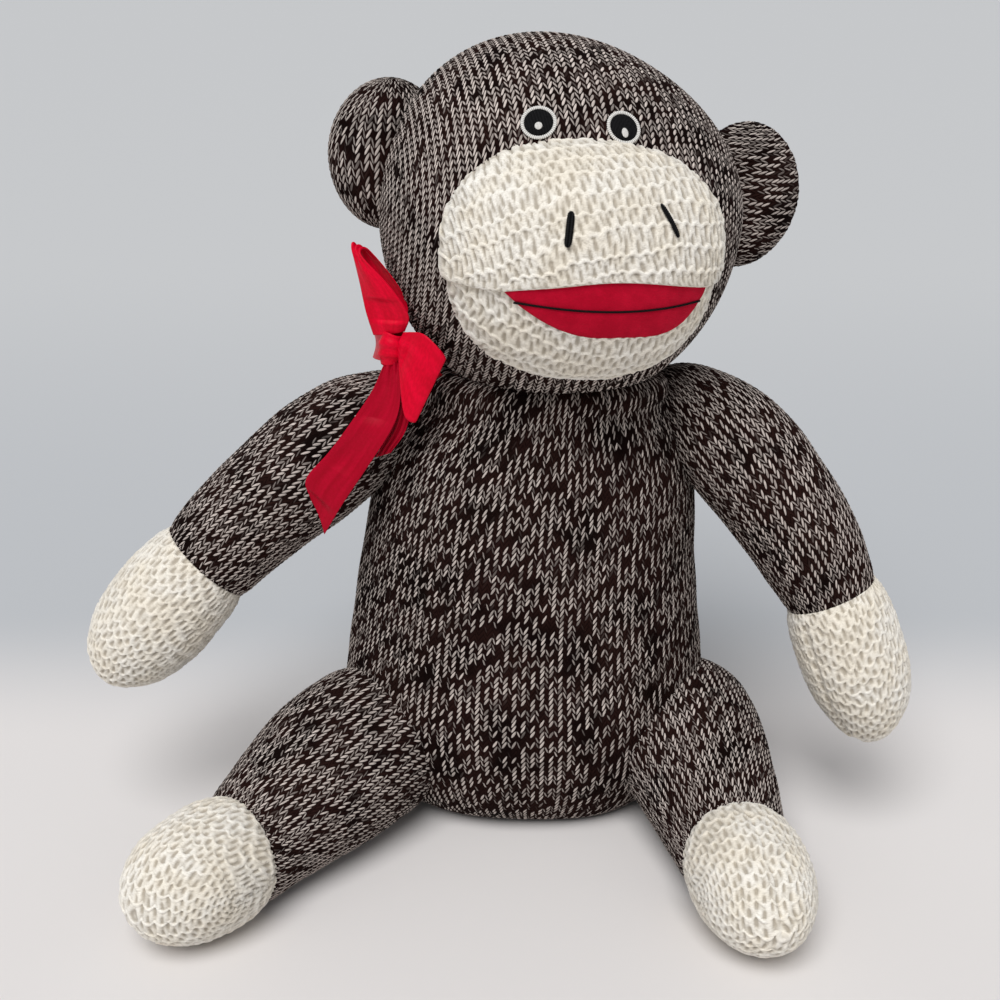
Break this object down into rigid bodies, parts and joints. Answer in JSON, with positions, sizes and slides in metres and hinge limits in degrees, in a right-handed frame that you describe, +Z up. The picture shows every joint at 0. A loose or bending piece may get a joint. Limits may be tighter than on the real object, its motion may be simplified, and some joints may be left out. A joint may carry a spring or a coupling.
{
  "type": "sock monkey doll",
  "caption": "Seated stuffed monkey doll of marled knit with cream knit muzzle, hands and feet, floppy limbs, a curled tail and a red satin bow at the neck.",
  "frame": {"origin": "middle of the flat seat that the doll sits on, on the floor", "axes": "+Z up, -Y the way the doll faces, +X to the doll's left"},
  "size_m": [0.3914, 0.258, 0.3795],
  "materials": {
    "torso_cover": "marled brown and cream knit",
    "torso_filling": "loose polyester fibre",
    "seat_pellet_bag": "woven bag of plastic pellets",
    "head_cover": "marled brown and cream knit",
    "head_filling": "loose polyester fibre",
    "muzzle_upper_cover": "cream ridged knit",
    "muzzle_chin_cover": "cream ridged knit",
    "muzzle_filling": "loose polyester fibre",
    "mouth_felt": "red felt",
    "mouth_line_stitch": "black embroidery thread",
    "nostril_stitch_right": "black embroidery thread",
    "eye_ring_right": "white embroidery",
    "eye_disc_right": "black embroidery",
    "eye_glint_right": "white embroidery",
    "ear_cover_right": "marled brown and cream knit",
    "ear_filling_right": "loose polyester fibre",
    "arm_cover_right": "marled brown and cream knit",
    "hand_cover_right": "cream ridged knit",
    "arm_filling_right": "loose polyester fibre",
    "leg_cover_right": "marled brown and cream knit",
    "foot_cover_right": "cream ridged knit",
    "leg_filling_right": "loose polyester fibre",
    "nostril_stitch_left": "black embroidery thread",
    "eye_ring_left": "white embroidery",
    "eye_disc_left": "black embroidery",
    "eye_glint_left": "white embroidery",
    "ear_cover_left": "marled brown and cream knit",
    "ear_filling_left": "loose polyester fibre",
    "arm_cover_left": "marled brown and cream knit",
    "hand_cover_left": "cream ridged knit",
    "arm_filling_left": "loose polyester fibre",
    "leg_cover_left": "marled brown and cream knit",
    "foot_cover_left": "cream ridged knit",
    "leg_filling_left": "loose polyester fibre",
    "tail_cover": "marled brown and cream knit",
    "tail_filling": "loose polyester fibre",
    "neck_ribbon_band": "red satin ribbon",
    "bow_knot": "red satin ribbon",
    "bow_upper_loop": "red satin ribbon",
    "bow_front_loop": "red satin ribbon",
    "ribbon_tail_long": "red satin ribbon",
    "ribbon_tail_short": "red satin ribbon"
  },
  "bodies": {
    "torso": {"torso_cover": "torso_cover", "torso_filling": "torso_filling", "seat_pellet_bag": "seat_pellet_bag", "ribbon_tail_long": "ribbon_tail_long", "ribbon_tail_short": "ribbon_tail_short"},
    "head": {"head_cover": "head_cover", "head_filling": "head_filling", "muzzle_upper_cover": "muzzle_upper_cover", "muzzle_chin_cover": "muzzle_chin_cover", "muzzle_filling": "muzzle_filling", "mouth_felt": "mouth_felt", "mouth_line_stitch": "mouth_line_stitch", "nostril_stitch_right": "nostril_stitch_right", "nostril_stitch_left": "nostril_stitch_left", "eye_ring_right": "eye_ring_right", "eye_disc_right": "eye_disc_right", "eye_glint_right": "eye_glint_right", "eye_ring_left": "eye_ring_left", "eye_disc_left": "eye_disc_left", "eye_glint_left": "eye_glint_left", "neck_ribbon_band": "neck_ribbon_band", "bow_knot": "bow_knot", "bow_upper_loop": "bow_upper_loop", "bow_front_loop": "bow_front_loop"},
    "ear_right": {"ear_cover_right": "ear_cover_right", "ear_filling_right": "ear_filling_right"},
    "arm_right": {"arm_cover_right": "arm_cover_right", "hand_cover_right": "hand_cover_right", "arm_filling_right": "arm_filling_right"},
    "leg_right": {"leg_cover_right": "leg_cover_right", "foot_cover_right": "foot_cover_right", "leg_filling_right": "leg_filling_right"},
    "ear_left": {"ear_cover_left": "ear_cover_left", "ear_filling_left": "ear_filling_left"},
    "arm_left": {"arm_cover_left": "arm_cover_left", "hand_cover_left": "hand_cover_left", "arm_filling_left": "arm_filling_left"},
    "leg_left": {"leg_cover_left": "leg_cover_left", "foot_cover_left": "foot_cover_left", "leg_filling_left": "leg_filling_left"},
    "tail": {"tail_cover": "tail_cover", "tail_filling": "tail_filling"}
  },
  "joints": [
    {"name": "neck_turn", "type": "hinge", "parent": "torso", "child": "head", "pos_m": [0.008, 0, 0.229], "axis": [0, 0, 1], "range_deg": [-25, 25], "deforming": ["ribbon_tail_long", "ribbon_tail_short"]},
    {"name": "ear_right_fold", "type": "hinge", "parent": "head", "child": "ear_right", "pos_m": [-0.0642, -0.0075, 0.328], "axis": [0.0692, 0.0085, 0.9976], "range_deg": [-20, 20], "deforming": ["ear_cover_right"]},
    {"name": "ear_left_fold", "type": "hinge", "parent": "head", "child": "ear_left", "pos_m": [0.093, 0.0118, 0.3094], "axis": [0.0692, 0.0085, 0.9976], "range_deg": [-20, 20], "deforming": ["ear_cover_left"]},
    {"name": "shoulder_right", "type": "hinge", "parent": "torso", "child": "arm_right", "pos_m": [-0.0796, -0.0085, 0.2011], "axis": [-0.2924, 0.9563, 0], "range_deg": [-15, 85], "deforming": ["arm_cover_right"]},
    {"name": "shoulder_left", "type": "hinge", "parent": "torso", "child": "arm_left", "pos_m": [0.0869, -0.0116, 0.2032], "axis": [-0.4067, -0.9136, 0], "range_deg": [-10, 100], "deforming": ["arm_cover_left"]},
    {"name": "hip_right", "type": "hinge", "parent": "torso", "child": "leg_right", "pos_m": [-0.0894, -0.0394, 0.0377], "axis": [-0.8049, 0.5934, 0], "range_deg": [-70, 40], "deforming": ["leg_cover_right"]},
    {"name": "hip_left", "type": "hinge", "parent": "torso", "child": "leg_left", "pos_m": [0.0818, -0.0254, 0.0364], "axis": [-0.9863, -0.165, 0], "range_deg": [-70, 40], "deforming": ["leg_cover_left"]},
    {"name": "tail_swing", "type": "hinge", "parent": "torso", "child": "tail", "pos_m": [-0.0103, 0.0573, 0.0272], "axis": [0, 0, 1], "range_deg": [-10, 35], "deforming": ["tail_cover"]}
  ]
}
